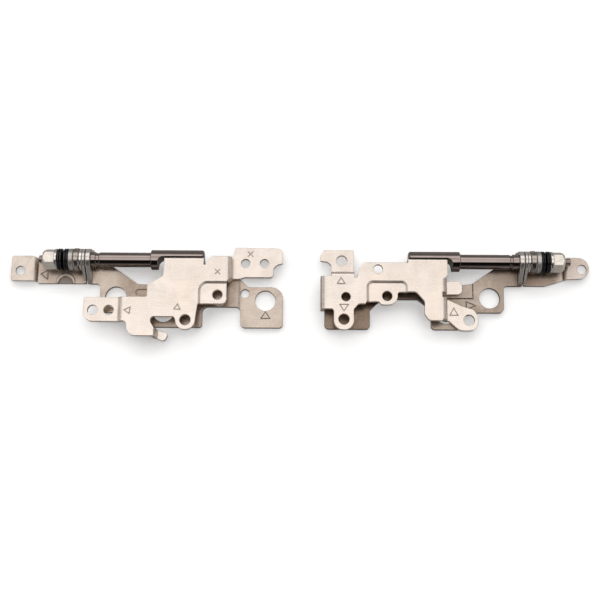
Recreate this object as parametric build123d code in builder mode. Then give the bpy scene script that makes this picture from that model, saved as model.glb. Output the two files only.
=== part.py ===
from build123d import *
import os

# Laptop hinge pair, closed, lying on its lid brackets.
# +X along the hinge line, +Y to the back, +Z up, millimetres.

# ------------------------------------------------------------ driving dimensions
axis_y = 8.0495        # hinge line, from the middle of the pair
axis_z = 3.4           # hinge line above the table
sheet_t = 1.0          # sheet of the base and lid brackets
thin_t = 0.6           # sheet of the end brackets
bend_in = 0.3          # inside radius of the bracket bends
bend_out = bend_in + sheet_t
tab_bend = 1.3         # outside radius where an end tab turns down
ear_bend = 0.7         # outside radius where an ear turns up

base_top = 5.6         # top of the base brackets' main plates
arm_top = 4.6          # top of the left base bracket's outer tab
foot_top = 2.45        # top of the base brackets' dropped feet
pocket_drop = 0.5      # depth of the pressed screw pockets
pocket_slope = 35.0    # slope of the pocket walls, degrees from upright
flange_y = 0.4         # outer face of the flange along the shaft
flange_low = 1.05      # lower edge of that flange
lid_low = 0.2          # underside of the lid brackets' raised parts
pad_rise = 0.12        # height of the pressed pad on the right lid bracket
foot_joggle = 0.2      # how far the lid brackets' feet sit lower
tab_top = 1.5          # top of the end brackets' raised end tabs

mid_r = 1.78           # shaft, round middle
collar_r = 2.42        # shaft, collar and half-round bar
ring_r = 1.85          # shaft, ring against the ear
bearing_r = 1.5        # shaft, inside the ears
thread_r = 1.12        # shaft, threaded stub
flat_half = 0.8        # shaft, half width over the flats
bar_flat_y = 0.42      # shaft, flat of the half-round bar
rivet_r = 0.9          # rivet shank
rivet_z = 3.0          # rivet height
rivet_pitch = 4.8      # between the two rivets
ear_r = 2.64           # round head of the ears
ear_bore = 1.54        # bore of the ears
fit_gap = 0.02         # play between neighbours in the stack

screw_large = 1.33     # screw clearance hole, large
screw_mid = 1.22       # screw clearance hole, middle
screw_small = 1.12     # screw clearance hole, small
boss_hole = 2.5        # large lid bracket hole
mark_deep = 0.10       # depth of the stamped marks
mark_wide = 0.18       # line width of the stamped marks


# ------------------------------------------------------------ planes and outlines
def at(h):
    return Plane(origin=(0, axis_y, h))


def across(x):
    return Plane(origin=(x, axis_y, 0), x_dir=(0, 1, 0), z_dir=(1, 0, 0))


def along(y):
    return Plane(origin=(0, axis_y + y, 0), x_dir=(1, 0, 0), z_dir=(0, -1, 0))


shaft_plane = Plane(origin=(0, axis_y, axis_z), x_dir=(1, 0, 0), z_dir=(0, -1, 0))
shaft_axis = Axis((0, axis_y, axis_z), (1, 0, 0))


def outline(plane, corners):
    with BuildSketch(plane) as face:
        with BuildLine():
            Polyline(*[(u, v) for u, v, r in corners], close=True)
        make_face()
        for u, v, r in corners:
            if r > 0:
                fillet(face.vertices().sort_by_distance((u, v))[0], r)
    return face.sketch


def cut_marks(h, triangles, crosses=()):
    for corners in triangles:
        with BuildSketch(at(h)) as mark:
            with BuildLine():
                Polyline(*corners, close=True)
            make_face()
            offset(amount=-mark_wide, kind=Kind.INTERSECTION, mode=Mode.SUBTRACT)
        extrude(mark.sketch, amount=-mark_deep, mode=Mode.SUBTRACT)
    for u, v, size in crosses:
        with BuildSketch(at(h)) as mark:
            with Locations((u, v)):
                Rectangle(size, mark_wide, rotation=45)
                Rectangle(size, mark_wide, rotation=-45)
        extrude(mark.sketch, amount=-mark_deep, mode=Mode.SUBTRACT)


def screw_holes(spots, radius):
    with Locations(at(8)):
        with Locations(*spots):
            Hole(radius, depth=9)


def step_down(x_from, x_wall, x_to):
    # sheet that runs in at the main level, turns down and runs out at foot level
    return [
        (x_from, base_top, 0),
        (x_wall, base_top, bend_out),
        (x_wall, foot_top, bend_in),
        (x_to, foot_top, 0),
        (x_to, foot_top - sheet_t, 0),
        (x_wall - sheet_t, foot_top - sheet_t, bend_out),
        (x_wall - sheet_t, base_top - sheet_t, bend_in),
        (x_from, base_top - sheet_t, 0),
    ]


flange_section = [
    (-3.0, base_top, 0),
    (flange_y, base_top, 0.8),
    (flange_y, flange_low, 0.15),
    (flange_y - sheet_t, flange_low, 0.15),
    (flange_y - sheet_t, base_top - sheet_t, 0.2),
    (-3.0, base_top - sheet_t, 0),
]

# ------------------------------------------------------------ left base bracket
left_rivet_x = (-30.3, -30.3 + rivet_pitch)

with BuildPart() as left_hook:
    shape = outline(along(-16.0), step_down(-37.5, -34.1, -31.0))
    extrude(shape, amount=5)
    shape = outline(
        at(0),
        [
            (-37.5, -17.4, 0),
            (-34.4, -17.0, 0),
            (-31.3, -17.78, 0.7),
            (-32.35, -19.85, 0.8),
            (-34.3, -19.0, 0),
            (-37.5, -19.0, 0),
        ],
    )
    extrude(shape, amount=7, mode=Mode.INTERSECT)

with BuildPart() as left_base_bracket:
    shape = outline(
        along(4),
        [
            (-52.0, arm_top, 0),
            (-43.3, arm_top, 0.3),
            (-42.5, base_top, 0.8),
            (-16.35, base_top, bend_out),
            (-16.35, foot_top, bend_in),
            (-4.0, foot_top, 0),
            (-4.0, foot_top - sheet_t, 0),
            (-17.35, foot_top - sheet_t, bend_out),
            (-17.35, base_top - sheet_t, bend_in),
            (-42.02, base_top - sheet_t, 0.3),
            (-42.82, arm_top - sheet_t, 0.8),
            (-52.0, arm_top - sheet_t, 0),
        ],
    )
    extrude(shape, amount=25)
    # pressed screw pocket, skin first and then its hollow
    shape = outline(
        at(base_top - pocket_drop - sheet_t),
        [(-24.08, -14, 0), (-24.08, -5.82, 1.9), (-12, -5.82, 0), (-12, -14, 0)],
    )
    extrude(shape, amount=pocket_drop, taper=-pocket_slope)
    shape = outline(
        at(base_top),
        [(-24.2, -14, 0), (-24.2, -5.7, 2.2), (-12, -5.7, 0), (-12, -14, 0)],
    )
    extrude(shape, amount=-pocket_drop, taper=pocket_slope, mode=Mode.SUBTRACT)
    # outline seen from above
    shape = outline(
        at(0),
        [
            (-51.6, -9.5, 0.7),
            (-36.45, -9.6, 0.3),
            (-36.45, -6.7, 0.8),
            (-32.75, -4.45, 0.8),
            (-32.57, -1.0, 0),
            (-23.11, -1.0, 0),
            (-23.11, -1.6, 0.15),
            (-22.65, -1.6, 0.15),
            (-22.65, -1.2, 0.2),
            (-21.2, 0.55, 0.8),
            (-16.3, 0.55, 0.15),
            (-16.15, 1.2, 0),
            (-15.75, 3.52, 0.3),
            (-4.22, 3.34, 1.1),
            (-4.22, -0.45, 0.3),
            (-5.4, -0.68, 0.7),
            (-6.42, -1.6, 0.8),
            (-6.45, -3.92, 0.9),
            (-13.3, -3.92, 0.8),
            (-14.5, -4.32, 0.8),
            (-16.3, -4.4, 0.3),
            (-17.3, -5.35, 0.3),
            (-17.55, -5.6, 0.2),
            (-17.55, -11.1, 1.2),
            (-24.35, -11.1, 0.3),
            (-24.87, -15.0, 0),
            (-24.87, -17.47, 2.3),
            (-29.53, -17.47, 2.3),
            (-29.53, -15.1, 0),
            (-29.9, -14.35, 0.4),
            (-35.4, -14.35, 0.7),
            (-35.4, -15.7, 0.7),
            (-34.58, -17.0, 0.3),
            (-34.58, -19.0, 0.3),
            (-40.75, -19.0, 2.1),
            (-41.25, -15.43, 0.9),
            (-51.6, -15.38, 2.2),
        ],
    )
    extrude(shape, amount=7, mode=Mode.INTERSECT)
    # flange along the shaft
    shape = outline(across(-32.57), flange_section)
    extrude(shape, amount=9.46)
    add(left_hook.part)
    screw_holes([(-49.4, -12.65), (-45.56, -12.65)], screw_mid)
    screw_holes([(-27.2, -15.14)], screw_large)
    screw_holes([(-19.7, -8.9)], screw_mid)
    screw_holes([(-13.22, -0.45), (-8.65, -0.45)], screw_small)
    with Locations(along(flange_y + 0.1)):
        with Locations(*[(x, rivet_z) for x in left_rivet_x]):
            Hole(rivet_r + fit_gap, depth=1.3)
    fillet(
        [
            left_base_bracket.edges().sort_by_distance((u, axis_y + v, w))[0]
            for u, v, w in (
                (-24.2, -9.5, base_top),
                (-23.56, -6.35, base_top),
                (-20.0, -5.7, base_top),
            )
        ],
        0.4,
    )
    fillet(
        [
            left_base_bracket.edges().sort_by_distance((u, axis_y + v, w))[0]
            for u, v, w in (
                (-23.85, -9.5, base_top - pocket_drop),
                (-23.308, -6.592, base_top - pocket_drop),
                (-20.0, -6.05, base_top - pocket_drop),
            )
        ],
        0.5,
    )
    cut_marks(
        base_top,
        [
            [(-41.9, -12.85), (-40.4, -13.85), (-40.15, -12.0)],
            [(-29.05, -11.15), (-30.1, -12.65), (-28.3, -12.75)],
        ],
        [(-19.75, -3.35, 1.7)],
    )
    cut_marks(foot_top, [], [(-12.05, 1.9, 1.9)])
left_base_bracket.part.label = "left_base_bracket"

# ------------------------------------------------------------ right base bracket
right_rivet_x = (29.2, 29.2 + rivet_pitch)

with BuildPart() as right_back_tab:
    shape = outline(
        across(4.9),
        [
            (-6.0, base_top, 0),
            (-2.85, base_top, bend_out),
            (-2.85, foot_top, bend_in),
            (3.4, foot_top, 0),
            (3.4, foot_top - sheet_t, 0),
            (-3.85, foot_top - sheet_t, bend_out),
            (-3.85, base_top - sheet_t, bend_in),
            (-6.0, base_top - sheet_t, 0),
        ],
    )
    extrude(shape, amount=8.3)
    shape = outline(
        at(0),
        [
            (7.5, -6.0, 0),
            (7.5, -0.75, 0.5),
            (6.6, 0.1, 0.6),
            (4.9, 0.27, 0.2),
            (4.9, 1.65, 0.2),
            (5.73, 3.09, 0.3),
            (13.0, 3.09, 0.3),
            (13.0, -6.0, 0),
        ],
    )
    extrude(shape, amount=7, mode=Mode.INTERSECT)

with BuildPart() as right_side_tab:
    shape = outline(along(-4.0), step_down(31.5, 35.15, 40.0))
    extrude(shape, amount=5)
    shape = outline(
        at(0),
        [
            (31.5, -5.2, 0),
            (35.0, -4.6, 0.2),
            (39.1, -4.46, 1.2),
            (39.1, -7.85, 1.2),
            (31.5, -7.95, 0),
        ],
    )
    extrude(shape, amount=7, mode=Mode.INTERSECT)

with BuildPart() as right_foot:
    shape = outline(along(-9.0), step_down(31.5, 35.15, 44.0))
    extrude(shape, amount=9)
    shape = outline(
        at(0),
        [
            (31.5, -9.2, 0),
            (35.6, -9.2, 0.4),
            (39.2, -10.85, 1.0),
            (41.75, -11.6, 1.4),
            (42.75, -13.2, 1.4),
            (42.75, -16.75, 2.2),
            (38.3, -16.75, 2.4),
            (35.75, -14.4, 0.6),
            (31.5, -14.6, 0),
        ],
    )
    extrude(shape, amount=7, mode=Mode.INTERSECT)

with BuildPart() as right_base_bracket:
    shape = outline(
        along(2),
        [
            (4.9, 2.2, 0.2),
            (4.9, base_top, bend_out),
            (36.0, base_top, 0),
            (36.0, base_top - sheet_t, 0),
            (5.9, base_top - sheet_t, bend_in),
            (5.9, 2.2, 0.2),
        ],
    )
    extrude(shape, amount=22)
    shape = outline(
        at(base_top - pocket_drop - sheet_t),
        [(16.07, -14, 0), (16.07, -5.47, 1.0), (25.48, -5.47, 1.0), (25.48, -14, 0)],
    )
    extrude(shape, amount=pocket_drop, taper=-pocket_slope)
    shape = outline(
        at(base_top),
        [(15.95, -14, 0), (15.95, -5.35, 1.4), (25.6, -5.35, 1.4), (25.6, -14, 0)],
    )
    extrude(shape, amount=-pocket_drop, taper=pocket_slope, mode=Mode.SUBTRACT)
    shape = outline(
        at(0),
        [
            (4.3, -4.15, 0),
            (12.95, -4.15, 0),
            (12.95, -4.6, 0.15),
            (13.75, -4.6, 0.15),
            (13.75, -3.6, 0.3),
            (14.1, -2.3, 0.8),
            (15.3, -0.8, 0.8),
            (25.86, -0.8, 0),
            (25.86, -1.0, 0),
            (35.27, -1.0, 0),
            (35.27, -4.0, 0.4),
            (33.9, -4.95, 0.3),
            (33.9, -14.9, 0.2),
            (30.7, -14.9, 1.1),
            (29.55, -13.4, 1.1),
            (29.7, -10.3, 1.4),
            (27.7, -7.95, 1.4),
            (23.6, -7.95, 0.4),
            (23.3, -8.4, 0.2),
            (23.3, -11.1, 2.2),
            (19.4, -11.1, 0.9),
            (18.8, -10.3, 0.6),
            (15.9, -10.35, 0.2),
            (15.6, -10.95, 0.2),
            (13.9, -10.95, 0.9),
            (12.8, -12.3, 0.6),
            (12.8, -17.3, 2.3),
            (8.05, -17.3, 2.3),
            (8.05, -12.2, 0.6),
            (4.3, -12.2, 0),
        ],
    )
    extrude(shape, amount=7, mode=Mode.INTERSECT)
    shape = outline(across(25.86), flange_section)
    extrude(shape, amount=9.41)
    add(right_back_tab.part)
    add(right_side_tab.part)
    add(right_foot.part)
    screw_holes([(10.07, 0.36), (10.45, -14.76), (40.58, -14.14)], screw_large)
    screw_holes([(20.8, -8.94)], screw_mid)
    screw_holes([(18.65, -2.46), (10.94, -9.29)], screw_small)
    with Locations(along(flange_y + 0.1)):
        with Locations(*[(x, rivet_z) for x in right_rivet_x]):
            Hole(rivet_r + fit_gap, depth=1.3)
    fillet(
        [
            right_base_bracket.edges().sort_by_distance((u, axis_y + v, w))[0]
            for u, v, w in (
                (15.95, -9.0, base_top),
                (16.36, -5.76, base_top),
                (20.8, -5.35, base_top),
                (25.19, -5.76, base_top),
                (25.6, -7.2, base_top),
            )
        ],
        0.4,
    )
    fillet(
        [
            right_base_bracket.edges().sort_by_distance((u, axis_y + v, w))[0]
            for u, v, w in (
                (16.3, -9.0, base_top - pocket_drop),
                (16.608, -6.008, base_top - pocket_drop),
                (20.8, -5.7, base_top - pocket_drop),
                (24.942, -6.008, base_top - pocket_drop),
                (25.25, -7.2, base_top - pocket_drop),
            )
        ],
        0.5,
    )
    cut_marks(
        base_top,
        [
            [(9.8, -4.45), (8.7, -6.2), (10.9, -6.2)],
            [(9.3, -11.1), (10.45, -12.9), (11.7, -11.1)],
        ],
    )
    cut_marks(foot_top, [[(36.95, -11.05), (35.8, -13.1), (38.15, -13.1)]])
right_base_bracket.part.label = "right_base_bracket"

# ------------------------------------------------------------ lid brackets
ear_tail = [
    (2.0, 0.0, 0),
    (2.0, 1.6, 0),
    (2.55, 2.75, 0),
    (0.0, axis_z, 0),
    (-1.95, 5.18, 0),
    (-5.4, 1.4, 0.3),
    (-5.4, 0.0, 0),
]

with BuildPart() as left_lid_bracket:
    shape = outline(
        along(3),
        [
            (-51.45, 7.0, 0),
            (-51.45, lid_low, ear_bend),
            (-15.0, lid_low, 0),
            (-14.4, lid_low - foot_joggle, 0),
            (-4.0, lid_low - foot_joggle, 0),
            (-4.0, lid_low - foot_joggle + sheet_t, 0),
            (-14.4, lid_low - foot_joggle + sheet_t, 0),
            (-15.0, lid_low + sheet_t, 0),
            (-50.45, lid_low + sheet_t, 0.15),
            (-50.45, 7.0, 0),
        ],
    )
    extrude(shape, amount=22)
    with BuildSketch(across(-52)):
        with Locations((-10, 0.4)):
            Rectangle(30, 1.9)
        with Locations((0, axis_z)):
            Circle(ear_r)
        with BuildLine():
            Polyline(*[(u, v) for u, v, r in ear_tail], close=True)
        make_face()
    extrude(amount=50, mode=Mode.INTERSECT)
    shape = outline(
        at(-1),
        [
            (-51.5, 3.0, 0),
            (-50.4, 3.0, 0),
            (-50.4, 1.9, 0),
            (-47.7, 1.9, 1.0),
            (-45.4, -1.2, 1.0),
            (-39.3, -5.5, 2.0),
            (-21.0, -5.6, 0.8),
            (-18.8, -4.0, 0.8),
            (-14.6, -4.0, 0.4),
            (-12.6, -6.0, 0.8),
            (-4.1, -6.0, 2.9),
            (-4.1, -16.05, 1.0),
            (-14.35, -16.05, 1.2),
            (-14.35, -11.0, 1.2),
            (-23.55, -11.0, 1.4),
            (-23.55, -16.05, 0.8),
            (-39.5, -16.05, 1.0),
            (-44.0, -12.5, 1.0),
            (-48.35, -12.5, 1.0),
            (-48.4, -5.45, 1.0),
            (-51.5, -5.4, 0),
        ],
    )
    extrude(shape, amount=9, mode=Mode.INTERSECT)
    screw_holes([(-44.52, -8.7)], 2.58)
    screw_holes([(-32.9, -12.29), (-8.39, -9.37)], boss_hole)
    screw_holes([(-13.3, -7.61)], 1.07)
    with Locations(Plane(origin=(-49, axis_y, axis_z), z_dir=(1, 0, 0))):
        Hole(ear_bore, depth=3)
    # pressed bead
    with BuildSketch(at(lid_low + sheet_t)):
        with Locations((-34.8, -7.45)):
            SlotOverall(10.0, 1.5)
    extrude(amount=-0.35, mode=Mode.SUBTRACT)
    cut_marks(
        lid_low - foot_joggle + sheet_t,
        [[(-8.3, -11.95), (-9.6, -13.85), (-7.05, -13.85)]],
    )
left_lid_bracket.part.label = "left_lid_bracket"

with BuildPart() as right_lid_bracket:
    shape = outline(
        along(3),
        [
            (53.75, 7.0, 0),
            (53.75, lid_low, ear_bend),
            (20.3, lid_low, 0),
            (19.7, lid_low - foot_joggle, 0),
            (5.0, lid_low - foot_joggle, 0),
            (5.0, lid_low - foot_joggle + sheet_t, 0),
            (19.7, lid_low - foot_joggle + sheet_t, 0),
            (20.3, lid_low + sheet_t, 0),
            (52.75, lid_low + sheet_t, 0.15),
            (52.75, 7.0, 0),
        ],
    )
    extrude(shape, amount=22)
    # pressed pad under the side tab, raised above and hollow below
    with BuildSketch(at(lid_low + 0.5)):
        with Locations((36.9, -5.5)):
            Rectangle(9.7, 6.0)
    extrude(amount=sheet_t - 0.5 + pad_rise)
    with BuildSketch(at(lid_low)):
        with Locations((36.9, -5.5)):
            Rectangle(9.7, 6.0)
    extrude(amount=pad_rise, mode=Mode.SUBTRACT)
    with BuildSketch(at(lid_low + sheet_t)) as crease:
        with Locations((36.9, -5.5)):
            Rectangle(10.1, 6.4)
            Rectangle(9.7, 6.0, mode=Mode.SUBTRACT)
    extrude(crease.sketch, amount=-mark_deep, mode=Mode.SUBTRACT)
    with BuildSketch(across(4)):
        with Locations((-10, 0.4)):
            Rectangle(30, 1.95)
        with Locations((0, axis_z)):
            Circle(ear_r)
        with BuildLine():
            Polyline(*[(u, v) for u, v, r in ear_tail], close=True)
        make_face()
    extrude(amount=51, mode=Mode.INTERSECT)
    shape = outline(
        at(-1),
        [
            (53.8, 3.0, 0),
            (52.7, 3.0, 0),
            (52.7, 1.9, 0),
            (49.3, 1.9, 1.0),
            (46.95, -1.25, 1.0),
            (41.7, -4.9, 1.0),
            (38.9, -5.3, 0.8),
            (5.9, -5.3, 1.0),
            (5.9, -16.24, 1.1),
            (16.85, -16.24, 1.0),
            (16.85, -11.6, 0.8),
            (18.9, -9.6, 1.2),
            (23.4, -8.88, 1.0),
            (28.4, -8.88, 1.0),
            (30.2, -10.3, 0.8),
            (31.55, -13.2, 0.8),
            (31.55, -16.28, 1.0),
            (38.7, -16.28, 0.8),
            (38.7, -13.2, 0.6),
            (43.1, -12.05, 1.2),
            (49.25, -12.05, 1.3),
            (49.3, -5.4, 1.0),
            (53.8, -5.4, 0),
        ],
    )
    extrude(shape, amount=9, mode=Mode.INTERSECT)
    screw_holes([(45.81, -8.46), (35.19, -12.34)], boss_hole)
    with Locations(at(8)):
        with Locations((40.2, -14.5)):
            Hole(1.8, depth=9)
    with Locations(Plane(origin=(55, axis_y, axis_z), z_dir=(1, 0, 0))):
        Hole(ear_bore, depth=3)
    cut_marks(lid_low + sheet_t, [[(40.05, -9.2), (40.05, -11.45), (42.6, -10.3)]])
right_lid_bracket.part.label = "right_lid_bracket"

# ------------------------------------------------------------ end brackets
thin_tail = [
    (2.0, -0.5, 0),
    (2.0, 1.6, 0),
    (2.55, 2.75, 0),
    (0.0, axis_z, 0),
    (-1.95, 5.18, 0),
    (-5.3, 1.1, 0.3),
    (-5.3, -0.5, 0),
]

with BuildPart() as left_end_bracket:
    shape = outline(
        along(3),
        [
            (-51.75, 7.0, 0),
            (-51.75, 0.0, ear_bend),
            (-64.126, 0.0, 0.8),
            (-64.646, tab_top - thin_t, tab_bend - thin_t),
            (-70.5, tab_top - thin_t, 0),
            (-70.5, tab_top, 0),
            (-64.3, tab_top, tab_bend),
            (-63.78, thin_t, 0.2),
            (-52.35, thin_t, 0.15),
            (-52.35, 7.0, 0),
        ],
    )
    extrude(shape, amount=9)
    with BuildSketch(across(-71)):
        with Locations((-10, 0.55)):
            Rectangle(30, 2.1)
        with Locations((0, axis_z)):
            Circle(ear_r)
        with BuildLine():
            Polyline(*[(u, v) for u, v, r in thin_tail], close=True)
        make_face()
    extrude(amount=20, mode=Mode.INTERSECT)
    shape = outline(
        at(-1),
        [
            (-51.7, 3.0, 0),
            (-52.4, 3.0, 0),
            (-52.4, 1.9, 0),
            (-56.0, 0.9, 0.8),
            (-63.6, 0.9, 0.5),
            (-65.1, 1.41, 0.5),
            (-70.15, 1.41, 0.5),
            (-70.15, -4.84, 0.5),
            (-64.0, -4.84, 0.2),
            (-63.6, -5.3, 0.3),
            (-51.7, -5.3, 0),
        ],
    )
    extrude(shape, amount=9, mode=Mode.INTERSECT)
    screw_holes([(-67.95, -2.3)], screw_small)
    with Locations(Plane(origin=(-50, axis_y, axis_z), z_dir=(1, 0, 0))):
        Hole(ear_bore, depth=3)
    # pressed arch: a raised rib round a shallow hollow
    with BuildSketch(at(thin_t)) as rib:
        with Locations((-57.0, -5.0)):
            Circle(2.35)
        with Locations((-57.0, -7.3)):
            Rectangle(6, 4, mode=Mode.SUBTRACT)
    extrude(rib.sketch, amount=0.16, taper=30)
    with BuildSketch(at(thin_t + 0.16)) as hollow:
        with Locations((-57.0, -5.3)):
            Circle(1.85)
    extrude(hollow.sketch, amount=-0.42, taper=30, mode=Mode.SUBTRACT)
    cut_marks(thin_t, [[(-63.25, -2.9), (-61.3, -4.45), (-61.3, -1.75)]])
left_end_bracket.part.label = "left_end_bracket"

with BuildPart() as right_end_bracket:
    shape = outline(
        along(3),
        [
            (54.05, 7.0, 0),
            (54.05, 0.0, ear_bend),
            (64.226, 0.0, 0.8),
            (64.746, tab_top - thin_t, tab_bend - thin_t),
            (70.5, tab_top - thin_t, 0),
            (70.5, tab_top, 0),
            (64.4, tab_top, tab_bend),
            (63.88, thin_t, 0.2),
            (54.65, thin_t, 0.15),
            (54.65, 7.0, 0),
        ],
    )
    extrude(shape, amount=9)
    with BuildSketch(across(53)):
        with Locations((-10, 0.55)):
            Rectangle(30, 2.1)
        with Locations((0, axis_z)):
            Circle(ear_r)
        with BuildLine():
            Polyline(*[(u, v) for u, v, r in thin_tail], close=True)
        make_face()
    extrude(amount=20, mode=Mode.INTERSECT)
    shape = outline(
        at(-1),
        [
            (54.0, 3.0, 0),
            (54.7, 3.0, 0),
            (54.7, 1.9, 0),
            (58.3, 0.9, 0.8),
            (63.7, 0.9, 0.5),
            (65.0, 1.78, 0.5),
            (70.15, 1.72, 2.5),
            (70.15, -3.5, 2.5),
            (64.2, -3.75, 1.0),
            (59.4, -5.25, 1.0),
            (54.0, -5.25, 0),
        ],
    )
    extrude(shape, amount=9, mode=Mode.INTERSECT)
    screw_holes([(68.42, -1.2)], 1.16)
    with Locations(Plane(origin=(56, axis_y, axis_z), z_dir=(1, 0, 0))):
        Hole(ear_bore, depth=3)
right_end_bracket.part.label = "right_end_bracket"


# ------------------------------------------------------------ shafts
def turned(stations):
    with BuildSketch(shaft_plane) as half:
        with BuildLine():
            Polyline(*stations, close=True)
        make_face()
    revolve(half.sketch, axis=shaft_axis)


def key_flats(x_from, x_to):
    with BuildSketch(along(-flat_half)) as before:
        with Locations(((x_from + x_to) / 2, axis_z)):
            Rectangle(abs(x_to - x_from), 6)
    extrude(before.sketch, amount=3, mode=Mode.SUBTRACT)
    with BuildSketch(along(flat_half)) as behind:
        with Locations(((x_from + x_to) / 2, axis_z)):
            Rectangle(abs(x_to - x_from), 6)
    extrude(behind.sketch, amount=-3, mode=Mode.SUBTRACT)


with BuildPart() as left_shaft:
    turned(
        [
            (-62.95, 0),
            (-62.95, 0.95),
            (-62.78, thread_r),
            (-52.42, thread_r),
            (-52.42, bearing_r),
            (-50.43, bearing_r),
            (-50.43, ring_r),
            (-49.35, ring_r),
            (-49.2, 1.6),
            (-48.5, 1.6),
            (-48.3, mid_r),
            (-35.93, mid_r),
            (-35.93, 2.2),
            (-35.8, collar_r),
            (-23.45, collar_r),
            (-23.14, 2.05),
            (-23.14, 0),
        ]
    )
    key_flats(-64.0, -52.42)
    shape = outline(
        at(0),
        [
            (-34.25, -4.0, 0),
            (-34.25, bar_flat_y, 1.4),
            (-22.0, bar_flat_y, 0),
            (-22.0, -4.0, 0),
        ],
    )
    extrude(shape, amount=8, mode=Mode.SUBTRACT)
    with Locations(along(4)):
        with Locations(*[(x, rivet_z) for x in left_rivet_x]):
            Hole(rivet_r + fit_gap, depth=5)
left_shaft.part.label = "left_shaft"

with BuildPart() as right_shaft:
    turned(
        [
            (65.13, 0),
            (65.13, 0.95),
            (64.96, thread_r),
            (54.72, thread_r),
            (54.72, bearing_r),
            (52.73, bearing_r),
            (52.73, ring_r),
            (51.25, ring_r),
            (51.1, 1.6),
            (50.65, 1.6),
            (50.45, mid_r),
            (38.45, mid_r),
            (38.45, 2.2),
            (38.32, collar_r),
            (26.4, collar_r),
            (26.08, 2.05),
            (26.08, 0),
        ]
    )
    key_flats(54.72, 66.0)
    shape = outline(
        at(0),
        [
            (36.55, -4.0, 0),
            (36.55, bar_flat_y, 1.4),
            (25.0, bar_flat_y, 0),
            (25.0, -4.0, 0),
        ],
    )
    extrude(shape, amount=8, mode=Mode.SUBTRACT)
    with Locations(along(4)):
        with Locations(*[(x, rivet_z) for x in right_rivet_x]):
            Hole(rivet_r + fit_gap, depth=5)
right_shaft.part.label = "right_shaft"


# ------------------------------------------------------------ rivets
def rivet_pair(spots):
    with BuildPart() as rivets:
        for x in spots:
            upright = Plane(
                origin=(x, axis_y, rivet_z), x_dir=(0, 1, 0), z_dir=(1, 0, 0)
            )
            with BuildSketch(upright):
                with BuildLine():
                    Polyline(
                        (-1.15, 0),
                        (-1.15, 0.75),
                        (-0.95, 1.0),
                        (-0.62, 1.05),
                        (-0.62, rivet_r),
                        (2.16, rivet_r),
                        (2.42, 0.55),
                        (2.48, 0),
                        close=True,
                    )
                make_face()
            revolve(axis=Axis((x, axis_y, rivet_z), (0, 1, 0)))
    return rivets


left_flange_rivets = rivet_pair(left_rivet_x)
left_flange_rivets.part.label = "left_flange_rivets"
right_flange_rivets = rivet_pair(right_rivet_x)
right_flange_rivets.part.label = "right_flange_rivets"


# ------------------------------------------------------------ friction stacks
def washer(x_from, x_to, radius, edge, keyed=True):
    with BuildPart() as ring:
        with BuildSketch(across(x_from)):
            with Locations((0, axis_z)):
                Circle(radius)
        extrude(amount=x_to - x_from)
        fillet(ring.edges(), edge)
        with BuildSketch(across(x_from - 1)):
            with Locations((0, axis_z)):
                if keyed:
                    Circle(thread_r + fit_gap)
                    Rectangle(2 * (flat_half + fit_gap), 6, mode=Mode.INTERSECT)
                else:
                    Circle(ear_bore)
        extrude(amount=x_to - x_from + 2, mode=Mode.SUBTRACT)
    return ring


def springs(x_from, thick, dish, rim):
    # two nested pairs, rims outward, bores together
    with BuildPart() as stack:
        pair = dish + 2 * thick + fit_gap
        starts = [
            (x_from, 1),
            (x_from + thick + fit_gap, 1),
            (x_from + pair + fit_gap, -1),
            (x_from + pair + thick + 2 * fit_gap, -1),
        ]
        for x, way in starts:
            x_rim = x if way > 0 else x + dish
            x_bore = x + dish if way > 0 else x
            with BuildSketch(shaft_plane) as section:
                with BuildLine():
                    Polyline(
                        (x_bore, 1.3),
                        (x_bore + thick, 1.3),
                        (x_rim + thick, 2.66),
                        (x_rim, 2.66),
                        close=True,
                    )
                make_face()
                fillet(section.vertices().sort_by(Axis.Y)[-2:], rim)
            revolve(axis=shaft_axis)
    return stack


def lock_nut(x_from, x_to, outward):
    with BuildPart() as nut:
        with BuildSketch(across(x_from)):
            with Locations((0, axis_z)):
                RegularPolygon(2.2, 6, major_radius=False, rotation=-2)
        extrude(amount=x_to - x_from)
        rim = x_to if outward > 0 else x_from
        turn = 0.8 * outward
        with BuildSketch(shaft_plane):
            with BuildLine():
                Polyline(
                    (rim, 1.95),
                    (rim - turn, 2.6),
                    (rim - turn, 3.2),
                    (rim, 3.2),
                    close=True,
                )
            make_face()
        revolve(axis=shaft_axis, mode=Mode.SUBTRACT)
        with BuildSketch(across(x_from)):
            with Locations((0, axis_z)):
                Circle(thread_r + fit_gap)
        extrude(amount=x_to - x_from, mode=Mode.SUBTRACT)
    return nut


left_ear_shim = washer(-51.73, -51.47, 2.3, 0.05, keyed=False)
left_ear_shim.part.label = "left_ear_shim"
left_thrust_washer = washer(-53.16, -52.42, 2.62, 0.22)
left_thrust_washer.part.label = "left_thrust_washer"
left_friction_washer = washer(-54.56, -53.18, 2.75, 0.3)
left_friction_washer.part.label = "left_friction_washer"
left_seat_washer = washer(-55.7, -54.58, 2.64, 0.2)
left_seat_washer.part.label = "left_seat_washer"
left_disc_springs = springs(-58.42, 0.53, 0.26, 0.24)
left_disc_springs.part.label = "left_disc_springs"
left_nut_washer = washer(-59.12, -58.46, 2.6, 0.2)
left_nut_washer.part.label = "left_nut_washer"
left_lock_nut = lock_nut(-61.95, -59.14, -1)
left_lock_nut.part.label = "left_lock_nut"

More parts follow.
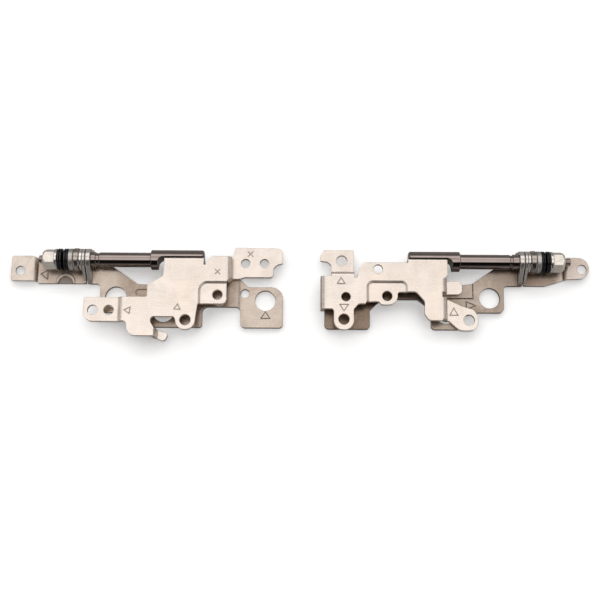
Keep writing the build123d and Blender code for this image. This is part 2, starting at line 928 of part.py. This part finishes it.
right_ear_shim = washer(53.77, 54.03, 2.3, 0.05, keyed=False)
right_ear_shim.part.label = "right_ear_shim"
right_thrust_washer = washer(54.72, 55.38, 2.62, 0.22)
right_thrust_washer.part.label = "right_thrust_washer"
right_friction_washer = washer(55.4, 56.82, 2.75, 0.3)
right_friction_washer.part.label = "right_friction_washer"
right_seat_washer = washer(56.84, 57.94, 2.64, 0.2)
right_seat_washer.part.label = "right_seat_washer"
right_disc_springs = springs(57.98, 0.4, 0.21, 0.18)
right_disc_springs.part.label = "right_disc_springs"
right_nut_washer = washer(60.12, 60.88, 2.6, 0.22)
right_nut_washer.part.label = "right_nut_washer"
right_lock_nut = lock_nut(60.9, 63.64, 1)
right_lock_nut.part.label = "right_lock_nut"

# ------------------------------------------------------------ files
os.makedirs("parts", exist_ok=True)
export_step(left_base_bracket.part, "parts/left_base_bracket.step")
export_step(right_base_bracket.part, "parts/right_base_bracket.step")
export_step(left_lid_bracket.part, "parts/left_lid_bracket.step")
export_step(right_lid_bracket.part, "parts/right_lid_bracket.step")
export_step(left_end_bracket.part, "parts/left_end_bracket.step")
export_step(right_end_bracket.part, "parts/right_end_bracket.step")
export_step(left_shaft.part, "parts/left_shaft.step")
export_step(right_shaft.part, "parts/right_shaft.step")
export_step(left_flange_rivets.part, "parts/left_flange_rivets.step")
export_step(right_flange_rivets.part, "parts/right_flange_rivets.step")
export_step(left_ear_shim.part, "parts/left_ear_shim.step")
export_step(right_ear_shim.part, "parts/right_ear_shim.step")
export_step(left_thrust_washer.part, "parts/left_thrust_washer.step")
export_step(right_thrust_washer.part, "parts/right_thrust_washer.step")
export_step(left_friction_washer.part, "parts/left_friction_washer.step")
export_step(right_friction_washer.part, "parts/right_friction_washer.step")
export_step(left_seat_washer.part, "parts/left_seat_washer.step")
export_step(right_seat_washer.part, "parts/right_seat_washer.step")
export_step(left_disc_springs.part, "parts/left_disc_springs.step")
export_step(right_disc_springs.part, "parts/right_disc_springs.step")
export_step(left_nut_washer.part, "parts/left_nut_washer.step")
export_step(right_nut_washer.part, "parts/right_nut_washer.step")
export_step(left_lock_nut.part, "parts/left_lock_nut.step")
export_step(right_lock_nut.part, "parts/right_lock_nut.step")
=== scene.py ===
import bpy
import bmesh
import math
from mathutils import Matrix, Vector


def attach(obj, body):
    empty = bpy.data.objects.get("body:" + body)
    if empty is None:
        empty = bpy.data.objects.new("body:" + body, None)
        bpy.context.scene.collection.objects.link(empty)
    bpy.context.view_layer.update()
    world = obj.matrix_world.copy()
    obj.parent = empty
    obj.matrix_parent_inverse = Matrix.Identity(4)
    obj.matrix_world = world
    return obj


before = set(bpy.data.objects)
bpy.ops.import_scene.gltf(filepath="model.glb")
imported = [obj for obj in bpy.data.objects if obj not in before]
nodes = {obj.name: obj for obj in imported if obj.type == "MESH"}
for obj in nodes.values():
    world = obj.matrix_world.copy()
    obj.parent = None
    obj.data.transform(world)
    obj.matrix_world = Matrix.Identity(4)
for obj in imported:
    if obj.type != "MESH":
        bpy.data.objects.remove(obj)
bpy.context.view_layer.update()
scene = bpy.context.scene

MM = 0.001
AXIS_Y = 8.0495     # hinge line in the CAD frame, mm
AXIS_Z = 3.4


# ------------------------------------------------------------------ node helpers
class Tree:
    """A small writer for shader trees."""

    def __init__(self, tree):
        self.t = tree
        self.t.nodes.clear()

    def add(self, kind, **sets):
        node = self.t.nodes.new(kind)
        for key, value in sets.items():
            setattr(node, key, value)
        return node

    def link(self, a, b):
        self.t.links.new(a, b)

    def put(self, socket, value):
        if isinstance(value, bpy.types.NodeSocket):
            self.t.links.new(value, socket)
        else:
            socket.default_value = value

    def math(self, op, a, b=0.0, c=None, clamp=False):
        node = self.add("ShaderNodeMath", operation=op, use_clamp=clamp)
        self.put(node.inputs[0], a)
        self.put(node.inputs[1], b)
        if c is not None:
            self.put(node.inputs[2], c)
        return node.outputs[0]

    def mix(self, kind, fac, a, b):
        node = self.add("ShaderNodeMix", data_type="RGBA", blend_type=kind)
        self.put(node.inputs[0], fac)
        self.put(node.inputs[6], a)
        self.put(node.inputs[7], b)
        return node.outputs[2]

    def ramp(self, fac, stops, smooth=False):
        node = self.add("ShaderNodeMapRange", clamp=True)
        if smooth:
            node.interpolation_type = "SMOOTHSTEP"
        self.put(node.inputs[0], fac)
        for i, v in enumerate(stops):
            node.inputs[1 + i].default_value = v
        return node.outputs[0]

    def scaled(self, vector, scale, turn=(0, 0, 0)):
        node = self.add("ShaderNodeMapping")
        self.put(node.inputs[0], vector)
        node.inputs[2].default_value = [math.radians(a) for a in turn]
        node.inputs[3].default_value = scale
        return node.outputs[0]

    def noise(self, vector, scale, detail=3.0, rough=0.55, warp=0.0):
        node = self.add("ShaderNodeTexNoise")
        self.put(node.inputs["Vector"], vector)
        node.inputs["Scale"].default_value = scale
        node.inputs["Detail"].default_value = detail
        node.inputs["Roughness"].default_value = rough
        node.inputs["Distortion"].default_value = warp
        return node.outputs["Fac"]


def rgba(c, k=1.0):
    return (c[0] * k, c[1] * k, c[2] * k, 1.0)


def begin(name):
    mat = bpy.data.materials.new(name)
    mat.use_nodes = True
    t = Tree(mat.node_tree)
    out = t.add("ShaderNodeOutputMaterial")
    bsdf = t.add("ShaderNodeBsdfPrincipled")
    t.link(bsdf.outputs[0], out.inputs[0])
    place = t.add("ShaderNodeTexCoord")
    return mat, t, bsdf, place.outputs["Object"], place.outputs["Normal"]


# occlusion mask, used to paint shade into colours
def crevice(t, reach):
    node = t.add("ShaderNodeAmbientOcclusion", samples=6, only_local=False)
    node.inputs["Distance"].default_value = reach
    return node.outputs["AO"]


def edge_mask(t, radius):
    """Bright where the surface turns sharply."""
    bevel = t.add("ShaderNodeBevel", samples=4)
    bevel.inputs["Radius"].default_value = radius
    geo = t.add("ShaderNodeNewGeometry")
    dot = t.add("ShaderNodeVectorMath", operation="DOT_PRODUCT")
    t.link(bevel.outputs[0], dot.inputs[0])
    t.link(geo.outputs["Normal"], dot.inputs[1])
    return t.ramp(dot.outputs["Value"], (0.98, 0.80, 0.0, 1.0))


def rounded(t, radius):
    """Normals that roll over the edges, as on a stamped and tumbled part."""
    bevel = t.add("ShaderNodeBevel", samples=6)
    bevel.inputs["Radius"].default_value = radius
    return bevel.outputs[0]


def plated_sheet(name, colour, rough, marks, wall=0.94, grain_turn=0.0, mottle=0.10, ear=None, tarnish=0.0,
                 shade=0.5 * MM, shade_strength=0.25, lip=0.24, stain_and_shade_films=()):
    """Nickel plate over rolled steel: faint mottling, rolling grain, darker sheared edges; painted shade in corners,
    under parts and in the mark grooves; stain and painted shade along given stretches.
    """
    mat, t, bsdf, obj, nrm = begin(name)
    # cloudy plating, a few millimetres across, and a finer speckle
    cloud = t.noise(obj, 260.0, 4.0, 0.6, 0.4)
    speck = t.noise(obj, 2600.0, 2.0, 0.7)
    grain = t.noise(t.scaled(obj, (260.0, 9000.0, 9000.0), (0, 0, grain_turn)), 1.0, 3.0, 0.6)
    hair = t.noise(t.scaled(obj, (420.0, 15000.0, 400.0), (0, 0, grain_turn + 37)), 1.0, 1.0, 0.4)
    base = t.mix("MIX", t.ramp(cloud, (0.35, 0.68, 0.0, 1.0)), rgba(colour, 1.0 - mottle),
                 rgba(colour, 1.0 + mottle * 0.45))
    warm = t.mix("MULTIPLY", t.ramp(t.noise(obj, 95.0, 2.0), (0.45, 0.72, 0.0, 0.75)), base, (1.0, 0.965, 0.93, 1.0))
    spotted = t.mix("MULTIPLY", t.ramp(speck, (0.66, 0.80, 0.0, 0.35)), warm, (0.62, 0.60, 0.58, 1.0))
    lined = t.mix("MULTIPLY", t.ramp(grain, (0.40, 0.70, 0.0, 0.22)), spotted, (0.72, 0.70, 0.68, 1.0))
    if tarnish:
        stain_and_shade_film = t.ramp(t.noise(obj, 150.0, 5.0, 0.65, 0.9), (0.46, 0.70, 0.0, tarnish))
        lined = t.mix("MULTIPLY", stain_and_shade_film, lined, (0.56, 0.48, 0.42, 1.0))
    # sheared edges stand upright
    split = t.add("ShaderNodeSeparateXYZ")
    t.link(nrm, split.inputs[0])
    upright = t.ramp(t.math("ABSOLUTE", split.outputs[2]), (0.85, 0.25, 0.0, 1.0))
    shear = t.noise(t.scaled(obj, (5200.0, 5200.0, 700.0)), 1.0, 2.0, 0.6)
    sheared = t.mix("MULTIPLY", 1.0, rgba(colour, wall),
                    t.mix("MIX", t.ramp(shear, (0.35, 0.65, 0.0, 1.0)), (0.86, 0.85, 0.84, 1), (1.04, 1.03, 1.02, 1)))
    skin = t.mix("MIX", upright, lined, sheared)
    # painted shade: the floors of the stamped mark grooves are darkened
    place = t.add("ShaderNodeSeparateXYZ")
    t.link(obj, place.inputs[0])
    high = place.outputs[2]
    groove = None
    for level in marks:
        gap = t.math("ABSOLUTE", t.math("SUBTRACT", high, level * MM))
        here = t.math("LESS_THAN", gap, 0.012 * MM)
        groove = here if groove is None else t.math("MAXIMUM", groove, here)
    if groove is not None:
        groove = t.math("MULTIPLY", groove, t.math("GREATER_THAN", split.outputs[2], 0.9))
        skin = t.mix("MIX", t.math("MULTIPLY", groove, 0.80), skin, rgba(colour, 0.26))
    r = t.math("ADD", rough, t.ramp(cloud, (0.3, 0.7, -0.05, 0.07)))
    r = t.math("ADD", r, t.ramp(grain, (0.3, 0.7, -0.03, 0.05)))
    r = t.math("ADD", r, t.math("MULTIPLY", upright, 0.03))
    if ear:
        # ears are polished by the stack
        up_there = t.ramp(high, (1.75 * MM, 2.3 * MM, 0.0, 1.0))
        bright = t.mix("MULTIPLY", 1.0, rgba(ear), t.mix("MIX", t.ramp(shear, (0.3, 0.7, 0.0, 1.0)), (0.86, 0.85, 0.84, 1), (1.0, 1.0, 1.0, 1)))
        skin = t.mix("MIX", up_there, skin, bright)
        r = t.math("SUBTRACT", r, t.math("MULTIPLY", up_there, rough + 0.03 - 0.22))
    # bare bright metal worn on the edges; painted shade: colour darkened in corners and under parts where occlusion
    # finds nearby surfaces
    edge = edge_mask(t, 0.14 * MM)
    skin = t.mix("MIX", t.math("MULTIPLY", edge, 0.35), skin, rgba(colour, 1.08))
    painted_shade = t.ramp(crevice(t, shade), (0.25, 0.92, shade_strength, 0.0))
    stained_and_shaded_skin = t.mix("MULTIPLY", painted_shade, skin, (0.36, 0.315, 0.28, 1.0))
    for start, stop, depth in stain_and_shade_films:
        # darker brown over a stretch of the length, only low down (below about 1.9 mm), with a cloudy border: partly a
        # stain, partly painted shade under the base bracket and the washer stack
        along = t.math("ADD", place.outputs[0], t.math("MULTIPLY", t.math("SUBTRACT", cloud, 0.5), 5.0 * MM))
        stain_and_shade_film = t.math("MULTIPLY", t.ramp(along, ((start - 1.5) * MM, (start + 1.5) * MM, 0.0, depth)),
                      t.ramp(along, ((stop + 1.5) * MM, (stop - 1.5) * MM, 0.0, 1.0)))
        stain_and_shade_film = t.math("MULTIPLY", stain_and_shade_film, t.ramp(high, (1.9 * MM, 1.5 * MM, 0.0, 1.0)))
        stained_and_shaded_skin = t.mix("MULTIPLY", stain_and_shade_film, stained_and_shaded_skin, (0.50, 0.44, 0.385, 1.0))
    t.link(stained_and_shaded_skin, bsdf.inputs["Base Color"])
    bsdf.inputs["Metallic"].default_value = 0.84
    r = t.math("MAXIMUM", r, 0.12)
    t.link(r, bsdf.inputs["Roughness"])
    height = t.math("ADD", t.math("MULTIPLY", grain, 0.55), t.math("MULTIPLY", speck, 0.25))
    height = t.math("ADD", height, t.math("MULTIPLY", t.ramp(hair, (0.70, 0.78, 0.0, -1.0)), 0.5))
    bump = t.add("ShaderNodeBump")
    bump.inputs["Strength"].default_value = 0.28
    bump.inputs["Distance"].default_value = 0.006 * MM
    t.link(height, bump.inputs["Height"])
    t.link(rounded(t, lip * MM), bump.inputs["Normal"])
    t.link(bump.outputs[0], bsdf.inputs["Normal"])
    return mat


def turned_metal(name, colour, rough, wear, wear_mix=0.5, stain=None, rings=1.0, blot=0.16, lip=0.05):
    """Turned about the hinge line: fine tool rings, worn rims, optional stain, painted shade in crevices."""
    mat, t, bsdf, obj, nrm = begin(name)
    ring = t.noise(t.scaled(obj, (16000.0, 500.0, 500.0)), 1.0, 2.0, 0.6)
    blotch = t.noise(obj, 520.0, 4.0, 0.62, 0.6)
    fine = t.noise(obj, 4200.0, 2.0, 0.6)
    base = t.mix("MIX", t.ramp(blotch, (0.32, 0.68, 0.0, 1.0)), rgba(colour, 1.0 - blot), rgba(colour, 1.0 + blot * 0.7))
    base = t.mix("MULTIPLY", t.ramp(ring, (0.55, 0.75, 0.0, 0.35 * rings)), base, (0.7, 0.7, 0.7, 1.0))
    if stain:
        where = t.ramp(t.noise(obj, 330.0, 3.0, 0.6, 0.8), (0.47, 0.60, 0.0, 1.0))
        base = t.mix("MIX", t.math("MULTIPLY", where, 0.75), base, rgba(stain))
    worn = t.math("MULTIPLY", edge_mask(t, 0.12 * MM), t.ramp(fine, (0.30, 0.62, 0.25, 1.0)))
    base = t.mix("MIX", t.math("MULTIPLY", worn, wear_mix), base, rgba(wear))
    # painted shade: colour darkened in crevices and between stacked parts, where occlusion finds nearby surfaces
    painted_shade = t.ramp(crevice(t, 0.5 * MM), (0.2, 0.75, 0.85, 0.0))
    base = t.mix("MULTIPLY", painted_shade, base, (0.18, 0.165, 0.155, 1.0))
    t.link(base, bsdf.inputs["Base Color"])
    bsdf.inputs["Metallic"].default_value = 1.0
    r = t.math("ADD", rough, t.ramp(blotch, (0.3, 0.7, -0.03, 0.05)))
    r = t.math("ADD", r, t.ramp(ring, (0.3, 0.7, -0.02, 0.04 * rings)))
    t.link(t.math("MAXIMUM", r, 0.06), bsdf.inputs["Roughness"])
    bump = t.add("ShaderNodeBump")
    bump.inputs["Strength"].default_value = 0.30
    bump.inputs["Distance"].default_value = 0.004 * MM * max(rings, 0.25)
    t.link(t.math("ADD", t.math("MULTIPLY", ring, 0.7 * rings), t.math("MULTIPLY", fine, 0.2)), bump.inputs["Height"])
    t.link(rounded(t, lip * MM), bump.inputs["Normal"])
    t.link(bump.outputs[0], bsdf.inputs["Normal"])
    return mat


BRIGHT = (0.76, 0.705, 0.655)
nickel_base = plated_sheet("nickel_base_sheet", (0.955, 0.845, 0.757), 0.27, (5.50, 2.35))
nickel_lid = plated_sheet("nickel_lid_sheet", (0.690, 0.580, 0.495), 0.25, (0.90,), grain_turn=12.0, mottle=0.13,
                          ear=BRIGHT, tarnish=0.45, shade=2.6 * MM, shade_strength=0.62, stain_and_shade_films=((-44.0, -15.0, 0.62),))
# darker copy of the lid finish for the right hinge's lid: partly painted shade, for the stretches that lie under the
# right base bracket
nickel_lid_dark = plated_sheet("nickel_lid_sheet_dark", (0.560, 0.465, 0.390), 0.25, (1.10,), grain_turn=-14.0,
                               mottle=0.15, ear=BRIGHT, tarnish=0.75, shade=4.5 * MM, shade_strength=0.95,
                               stain_and_shade_films=((3.0, 28.0, 0.85), (46.5, 60.0, 0.45)))
nickel_end = plated_sheet("nickel_end_sheet", (0.860, 0.750, 0.665), 0.28, (0.50, 0.34), grain_turn=-8.0,
                          ear=BRIGHT, tarnish=0.5, shade=3.2 * MM, shade_strength=0.75, stain_and_shade_films=((-63.6, -48.0, 0.50),))
nickel_end_dark = plated_sheet("nickel_end_sheet_dark", (0.800, 0.695, 0.615), 0.28, (), grain_turn=8.0,
                               ear=BRIGHT, tarnish=0.40, shade=4.0 * MM, shade_strength=0.90, stain_and_shade_films=((50.0, 62.6, 0.90),))
gunmetal = turned_metal("gunmetal_shaft", (0.330, 0.270, 0.247), 0.065, (0.46, 0.42, 0.39), 0.30, rings=0.3, blot=0.08)
rivet_dull = turned_metal("rivet_steel_dull", (0.30, 0.275, 0.26), 0.34, (0.55, 0.52, 0.50), 0.5)
washer_grey = turned_metal("washer_grey_steel", (0.60, 0.560, 0.520), 0.38, (0.74, 0.70, 0.66), 0.4, lip=0.12)
washer_bright = turned_metal("washer_bright_nickel", (0.80, 0.745, 0.695), 0.19, (0.90, 0.86, 0.81), 0.4, lip=0.14)
washer_brown = turned_metal("washer_brown_steel", (0.46, 0.400, 0.360), 0.22, (0.62, 0.55, 0.50), 0.3,
                            stain=(0.30, 0.245, 0.215), lip=0.14)
spring_black = turned_metal("spring_black_oxide", (0.046, 0.044, 0.046), 0.24, (0.13, 0.125, 0.125), 0.25)
nut_bright = turned_metal("nut_bright_nickel", (0.950, 0.865, 0.770), 0.28, (0.95, 0.91, 0.86), 0.4, rings=0.4, lip=0.12)

finish_of = {
    "base_bracket": nickel_base,
    "lid_bracket": nickel_lid,
    "end_bracket": nickel_end,
    "shaft": gunmetal,
    "flange_rivets": rivet_dull,
    "ear_shim": washer_grey,
    "thrust_washer": washer_bright,
    "friction_washer": washer_brown,
    "seat_washer": washer_grey,
    "disc_springs": spring_black,
    "nut_washer": washer_bright,
    "lock_nut": nut_bright,
}
right_finish = {"right_lid_bracket": nickel_lid_dark, "right_end_bracket": nickel_end_dark}
for name, obj in nodes.items():
    kind = name.split("_", 1)[1]
    obj.data.materials.clear()
    obj.data.materials.append(right_finish.get(name, finish_of[kind]))


# ------------------------------------------------------------------ screw thread on the stubs
def thread(name, x_from, x_to, body):
    """Right-hand ridges on the two round sides of a flatted stub."""
    pitch, root, crest = 0.40, 1.105, 1.175
    foot, top = 0.17, 0.04
    reach = math.asin(0.8 / 1.12)
    mesh = bmesh.new()
    steps = 22
    for middle in (math.pi / 2, 3 * math.pi / 2):
        turn = -1
        while turn < (x_to - x_from) / pitch + 2:
            rows = []
            for i in range(steps + 1):
                a = middle - reach + 2 * reach * i / steps
                x = x_from + pitch * (turn + a / (2 * math.pi))
                if x - foot < x_from or x + foot > x_to:
                    if len(rows) > 1:
                        break
                    rows = []
                    continue
                fade = min(1.0, i / 2.0, (steps - i) / 2.0)
                high = root + (crest - root) * max(fade, 0.05)
                ring = []
                for dx, r in ((-foot, root), (-top, high), (top, high), (foot, root)):
                    ring.append(mesh.verts.new(((x + dx) * MM, (AXIS_Y + r * math.cos(a)) * MM,
                                                (AXIS_Z + r * math.sin(a)) * MM)))
                rows.append(ring)
            if len(rows) > 1:
                for p, q in zip(rows, rows[1:]):
                    for k in range(3):
                        mesh.faces.new((p[k], p[k + 1], q[k + 1], q[k]))
                    mesh.faces.new((p[3], p[0], q[0], q[3]))
                mesh.faces.new(rows[0])
                mesh.faces.new(rows[-1])
            turn += 1
    bmesh.ops.recalc_face_normals(mesh, faces=mesh.faces[:])
    data = bpy.data.meshes.new(name)
    mesh.to_mesh(data)
    mesh.free()
    obj = bpy.data.objects.new(name, data)
    scene.collection.objects.link(obj)
    data.materials.append(gunmetal)
    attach(obj, body)
    return obj


thread("left_stub_thread", -62.86, -61.97, "left_base_side")
thread("right_stub_thread", 63.66, 65.03, "right_base_side")


# ------------------------------------------------------------------ floor
def paper(name, low, high, glow):
    mat, t, bsdf, obj, nrm = begin(name)
    tone = t.noise(obj, 6.0, 3.0, 0.5)
    tooth = t.noise(obj, 1800.0, 2.0, 0.6)
    t.link(t.mix("MIX", tone, (low, low * 0.995, low * 0.99, 1), (high, high * 0.997, high * 0.995, 1)),
           bsdf.inputs["Base Color"])
    bsdf.inputs["Roughness"].default_value = 0.85
    bsdf.inputs["Specular IOR Level"].default_value = 0.2
    bsdf.inputs["Emission Color"].default_value = (1.0, 0.995, 0.99, 1.0)
    if glow:
        # painted shadow: the floor's glow is cut back just in front of tall metal, but not down in the holes
        back = t.add("ShaderNodeAmbientOcclusion", samples=4, only_local=False)
        back.inputs["Distance"].default_value = 7.0 * MM
        toward = t.add("ShaderNodeCombineXYZ")
        toward.inputs[1].default_value = 0.643
        toward.inputs[2].default_value = 0.766
        t.link(toward.outputs[0], back.inputs["Normal"])
        close = t.add("ShaderNodeAmbientOcclusion", samples=4, only_local=False)
        close.inputs["Distance"].default_value = 2.2 * MM
        hid = t.math("MULTIPLY", t.ramp(back.outputs["AO"], (0.86, 0.30, 0.0, 1.0)), close.outputs["AO"])
        t.link(t.math("MULTIPLY", t.math("SUBTRACT", 1.0, t.math("MULTIPLY", hid, 0.66)), glow),
               bsdf.inputs["Emission Strength"])
    bump = t.add("ShaderNodeBump")
    bump.inputs["Strength"].default_value = 0.05
    bump.inputs["Distance"].default_value = 0.02 * MM
    t.link(tooth, bump.inputs["Height"])
    t.link(bump.outputs[0], bsdf.inputs["Normal"])
    return mat


def spread(name, height, mat):
    sheet = bmesh.new()
    for x, y in ((-2, -2), (2, -2), (2, 2), (-2, 2)):
        sheet.verts.new((x, y, height))
    sheet.faces.new(sheet.verts[:])
    data = bpy.data.meshes.new(name)
    sheet.to_mesh(data)
    sheet.free()
    data.materials.append(mat)
    obj = bpy.data.objects.new(name, data)
    scene.collection.objects.link(obj)
    return obj


# the white sweep that is seen, and its duller face that the metal mirrors
floor = spread("floor", -0.00003, paper("pale_floor", 0.93, 0.955, 0.52))
floor.visible_glossy = False
floor.visible_diffuse = False
floor_face = spread("floor_face", -0.00005, paper("dull_floor", 0.50, 0.54, 0.0))
floor_face.visible_camera = False


# ------------------------------------------------------------------ light
world = bpy.data.worlds.new("studio")
scene.world = world
world.use_nodes = True
w = Tree(world.node_tree)
w_out = w.add("ShaderNodeOutputWorld")
w_bg = w.add("ShaderNodeBackground")
w.link(w_bg.outputs[0], w_out.inputs[0])
w_dir = w.add("ShaderNodeTexCoord")
w_xyz = w.add("ShaderNodeSeparateXYZ")
w.link(w_dir.outputs["Generated"], w_xyz.inputs[0])
# lean of a direction from straight up towards the front, in degrees
lean = w.math("MULTIPLY", w.math("ARCTAN2", w.math("MULTIPLY", w_xyz.outputs[1], -1.0), w_xyz.outputs[2]), 180 / math.pi)
across = w.math("MULTIPLY", w.ramp(w_xyz.outputs[0], (-1.0, -0.22, 0.33, 1.0)), w.ramp(w_xyz.outputs[0], (1.0, 0.18, 0.12, 1.0)))
# two panels overhead, with a soft seam between them, and a dim wall behind
panels = w.math("MULTIPLY", w.ramp(lean, (22.0, 11.0, 0.0, 1.0), True), w.ramp(lean, (-68.0, -46.0, 0.0, 1.0), True))
seam = w.math("DIVIDE", w.math("ADD", lean, 21.0), 7.0)
seam = w.math("POWER", 2.718, w.math("MULTIPLY", w.math("MULTIPLY", seam, seam), -1.0))
panels = w.math("MULTIPLY", panels, w.math("SUBTRACT", 1.0, w.math("MULTIPLY", seam, 0.55)))
panels = w.math("MULTIPLY", panels, across)
behind = w.math("MULTIPLY", w.ramp(lean, (-30.0, -60.0, 0.0, 1.0), True), 0.24)
front = w.ramp(lean, (60.0, 88.0, 0.0, 1.0), True)
level = w.math("ADD", w.math("MULTIPLY", panels, 1.40), w.math("ADD", w.math("MULTIPLY", front, 0.21), behind))
level = w.math("ADD", level, 0.012)
# low wings at both sides, in front and behind
sides = w.ramp(w.math("ABSOLUTE", w_xyz.outputs[0]), (0.30, 0.60, 0.0, 1.0), True)
wings = w.math("ADD", w.ramp(lean, (30.0, 48.0, 0.0, 1.0), True), w.ramp(lean, (-50.0, -66.0, 0.0, 1.0), True))
level = w.math("ADD", level, w.math("MULTIPLY", w.math("MULTIPLY", sides, wings), 0.60))
see = w.add("ShaderNodeLightPath")
glow = w.add("ShaderNodeCombineXYZ")
for i in range(3):
    w.link(level, glow.inputs[i])
w.link(w.mix("MIX", see.outputs["Is Camera Ray"], glow.outputs[0], (0.97, 0.97, 0.965, 1.0)), w_bg.inputs["Color"])
w_bg.inputs["Strength"].default_value = 1.0

# ------------------------------------------------------------------ camera
TILT = math.radians(13.0)
look = Vector((0.0, (AXIS_Y - 9.579) * MM, 3.0 * MM))
away = Vector((0.0, -math.sin(TILT), math.cos(TILT)))
cam_data = bpy.data.cameras.new("camera")
cam_data.lens = 65.0
cam_data.sensor_width = 36.0
cam_data.clip_start = 0.01
cam_data.clip_end = 10.0
camera = bpy.data.objects.new("camera", cam_data)
scene.collection.objects.link(camera)
up = Vector((0.0, math.cos(TILT), math.sin(TILT)))
side = up.cross(away)
turn = Matrix((side, up, away)).transposed()
roll = Matrix.Rotation(math.radians(0.36), 3, "Z")
camera.matrix_world = Matrix.Translation(look + away * 0.260) @ (turn @ roll).to_4x4()
scene.camera = camera

scene.view_settings.view_transform = "Standard"
scene.view_settings.look = "None"
scene.view_settings.exposure = 0.0
